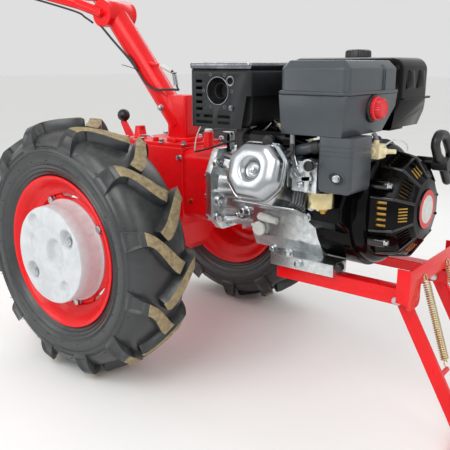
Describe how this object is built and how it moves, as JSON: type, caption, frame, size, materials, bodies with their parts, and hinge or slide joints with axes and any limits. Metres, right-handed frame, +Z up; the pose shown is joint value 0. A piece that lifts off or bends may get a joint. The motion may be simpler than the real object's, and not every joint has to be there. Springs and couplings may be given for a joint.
{
  "type": "walking tractor",
  "caption": "Two-wheel walking tractor with a petrol engine in front, a steering column that swivels, height-adjusted handlebars and a folding front stand.",
  "frame": {"origin": "middle of the whole machine's box, on the ground", "axes": "+X forward, from the handlebar to the engine; +Y to the left; +Z up"},
  "size_m": [1.7919, 0.8, 1.0631],
  "materials": {
    "tyre_rubber": "ribbed farm tread, dusty",
    "rim_paint": "gloss red paint",
    "weight_paint": "light grey paint on a casting",
    "bare_steel": "machined and plated steel",
    "case_paint": "gloss red paint on castings",
    "bare_alloy": "cast aluminium",
    "black_paint": "gloss black paint",
    "black_plastic": "moulded plastic",
    "grey_plastic": "dark grey moulded plastic",
    "knob_red": "red plastic",
    "guard_paint": "satin dark grey heat paint",
    "grip_rubber": "black rubber"
  },
  "bodies": {
    "chassis": {"gearbox_case": "case_paint", "gearbox_cover": "case_paint", "clutch_housing": "case_paint", "axle_housing_right": "case_paint", "axle_housing_left": "case_paint", "adapter_bell": "bare_alloy", "engine_crankcase": "bare_alloy", "engine_cylinder": "bare_alloy", "rocker_cover": "bare_alloy", "carburettor": "bare_alloy", "fan_housing": "black_paint", "recoil_starter": "black_paint", "fuel_tank": "black_paint", "tank_bracket": "black_paint", "fuel_cap": "black_plastic", "air_cleaner_base": "grey_plastic", "air_cleaner_cover": "grey_plastic", "intake_elbow": "grey_plastic", "cleaner_knob": "knob_red", "muffler": "bare_steel", "exhaust_pipe": "bare_steel", "muffler_guard": "guard_paint", "frame_rail_right": "case_paint", "frame_rail_left": "case_paint", "front_plate": "case_paint", "stand_pin_right": "bare_steel", "stand_pin_left": "bare_steel", "steering_base": "case_paint", "gear_lever": "case_paint", "gear_knob": "black_plastic", "clutch_lever": "black_paint", "hitch_bracket": "case_paint", "output_shaft": "bare_steel", "cylinder_shield": "bare_steel", "starter_handle": "black_plastic"},
    "wheel_right": {"tyre_right": "tyre_rubber", "rim_right": "rim_paint", "weight_right": "weight_paint", "hub_right": "bare_steel"},
    "wheel_left": {"tyre_left": "tyre_rubber", "rim_left": "rim_paint", "weight_left": "weight_paint", "hub_left": "bare_steel"},
    "column": {"steering_column": "case_paint"},
    "handlebar": {"handlebar_frame": "case_paint", "hand_grips": "grip_rubber", "control_levers": "black_plastic"},
    "stand": {"stand_frame": "case_paint", "stand_springs": "bare_steel"}
  },
  "joints": [
    {"name": "wheel_right_spin", "type": "hinge", "parent": "chassis", "child": "wheel_right", "pos_m": [0.0695, -0.304, 0.29], "axis": [0, 1, 0], "continuous": true},
    {"name": "wheel_left_spin", "type": "hinge", "parent": "chassis", "child": "wheel_left", "pos_m": [0.0695, 0.304, 0.29], "axis": [0, 1, 0], "continuous": true},
    {"name": "steering_swivel", "type": "hinge", "parent": "chassis", "child": "column", "pos_m": [0.1115, 0, 0.52], "axis": [0, 0, 1], "range_deg": [-30, 180]},
    {"name": "handlebar_height", "type": "hinge", "parent": "column", "child": "handlebar", "pos_m": [-0.1308, 0, 0.82226], "axis": [0, 1, 0], "range_deg": [-20, 25]},
    {"name": "stand_fold", "type": "hinge", "parent": "chassis", "child": "stand", "pos_m": [0.7455, 0, 0.26], "axis": [0, 1, 0], "range_deg": [0, 100]}
  ]
}
